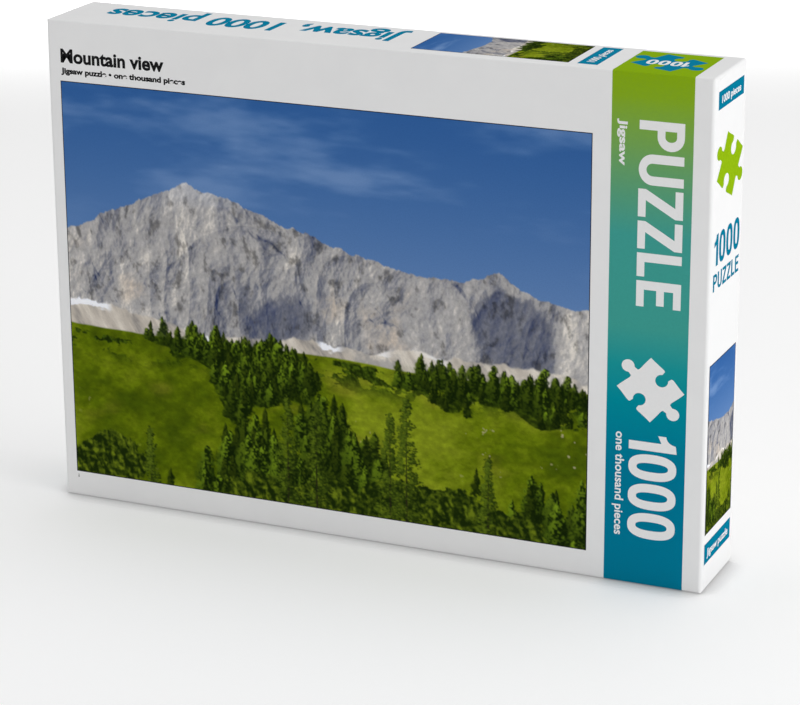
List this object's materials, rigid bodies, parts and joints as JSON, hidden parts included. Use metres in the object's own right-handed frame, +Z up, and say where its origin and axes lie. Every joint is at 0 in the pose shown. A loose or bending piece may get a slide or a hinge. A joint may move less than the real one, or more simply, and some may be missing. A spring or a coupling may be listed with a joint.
{
  "type": "boxed jigsaw puzzle",
  "caption": "Rigid lift-off-lid box standing on a long edge, printed with a landscape and a gradient band, holding jigsaw pieces in a film bag.",
  "frame": {"origin": "middle of the foot of the closed box as it stands on a long edge, halfway along its length and its depth", "axes": "+X along the long side to the right as seen from the picture panel, -Y out of the lid's picture panel, +Z up"},
  "size_m": [0.37, 0.05, 0.268],
  "materials": {
    "printed_wrap": "satin varnish",
    "grey_board": "matt",
    "corner_tape": "matt",
    "bag_film": "clear film",
    "puzzle_board": "printed, linen embossed"
  },
  "bodies": {
    "tray": {"tray_board_panel": "grey_board", "tray_board_upper": "grey_board", "tray_board_lower": "grey_board", "tray_board_left": "grey_board", "tray_board_right": "grey_board", "tray_wrap": "printed_wrap", "tray_corner_tape_upper_left": "corner_tape", "tray_corner_tape_upper_right": "corner_tape", "tray_corner_tape_lower_left": "corner_tape", "tray_corner_tape_lower_right": "corner_tape"},
    "lid": {"lid_board_panel": "grey_board", "lid_board_upper": "grey_board", "lid_board_lower": "grey_board", "lid_board_left": "grey_board", "lid_board_right": "grey_board", "lid_wrap": "printed_wrap", "lid_corner_tape_upper_left": "corner_tape", "lid_corner_tape_upper_right": "corner_tape", "lid_corner_tape_lower_left": "corner_tape", "lid_corner_tape_lower_right": "corner_tape"},
    "bag": {"pieces_bag": "bag_film", "corner_pieces": "puzzle_board", "edge_pieces": "puzzle_board", "inner_pieces_no_tab": "puzzle_board", "inner_pieces_one_tab": "puzzle_board", "inner_pieces_two_tabs_opposite": "puzzle_board", "inner_pieces_two_tabs_adjacent": "puzzle_board", "inner_pieces_three_tabs": "puzzle_board", "inner_pieces_four_tabs": "puzzle_board"}
  },
  "joints": [
    {"name": "lid_lift", "type": "slide", "parent": "tray", "child": "lid", "axis": [0, -1, 0], "range_m": [0, 0.12]},
    {"name": "bag_lift", "type": "slide", "parent": "tray", "child": "bag", "axis": [0, -1, 0], "range_m": [0, 0.054]}
  ],
  "couplings": [
    {"joint": "bag_lift", "follows": "lid_lift", "ratio": 0.45}
  ]
}
